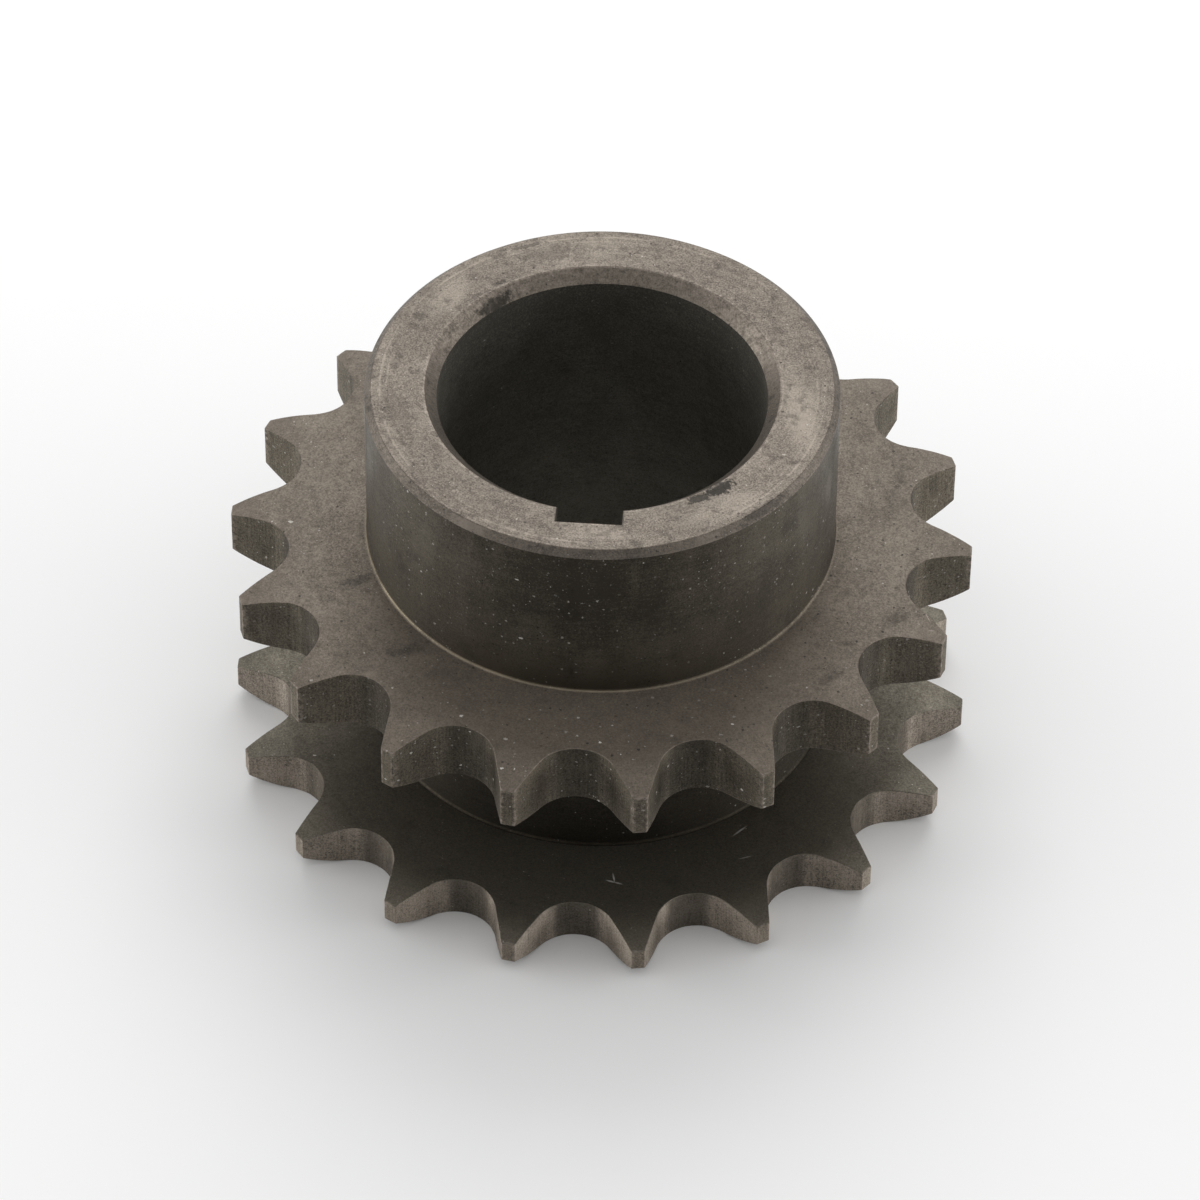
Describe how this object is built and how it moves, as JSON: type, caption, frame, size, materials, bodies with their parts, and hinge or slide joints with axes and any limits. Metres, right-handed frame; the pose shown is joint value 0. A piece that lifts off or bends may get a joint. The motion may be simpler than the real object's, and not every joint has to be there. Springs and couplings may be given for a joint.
{
  "type": "crankshaft gear",
  "caption": "Crankshaft chain sprocket with a wide and a narrow toothed row on a common neck, a plain round hub and a keyed bore, turned from solid steel.",
  "frame": {"origin": "centre of the bore on the outer face of the narrow row, the face that the gear stands on", "axes": "+Z along the bore from the narrow row to the hub end, -Y through the keyway and a tooth gap of each row"},
  "size_m": [0.0574, 0.0568, 0.0351],
  "materials": {
    "machined_steel": "turned and milled steel, dull and oil-darkened, paler on the faces and tooth lands"
  },
  "bodies": {
    "root": {"crankshaft_gear": "machined_steel"}
  },
  "joints": []
}
